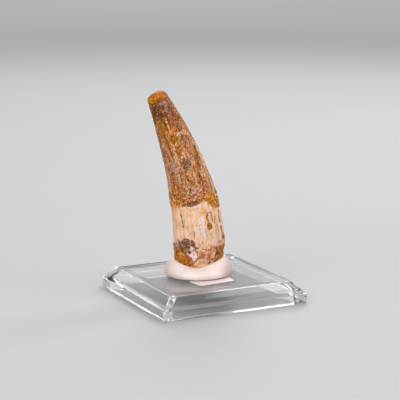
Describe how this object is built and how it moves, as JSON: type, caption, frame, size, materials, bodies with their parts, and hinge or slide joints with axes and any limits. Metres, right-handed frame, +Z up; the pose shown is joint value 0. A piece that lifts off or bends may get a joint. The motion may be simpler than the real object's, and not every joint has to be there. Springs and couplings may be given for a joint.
{
  "type": "fossil tooth on display stand",
  "caption": "Long curved fossil tooth with fluted crown and cracked root, standing upright in a lump of putty on a square clear bevelled stand.",
  "frame": {"origin": "centre of the stand's underside, in the plane it rests on", "axes": "+Z up along the standing tooth; X and Y along the sides of the square stand; the lit front of the tooth looks towards -Y, turned a little to -X"},
  "size_m": [0.06, 0.06, 0.0801],
  "materials": {
    "fossil": "mottled, satin on the crown, matte on the root",
    "putty": "matte",
    "clear_plastic": "polished clear"
  },
  "bodies": {
    "root": {"tooth": "fossil", "putty": "putty", "stand": "clear_plastic"}
  },
  "joints": []
}
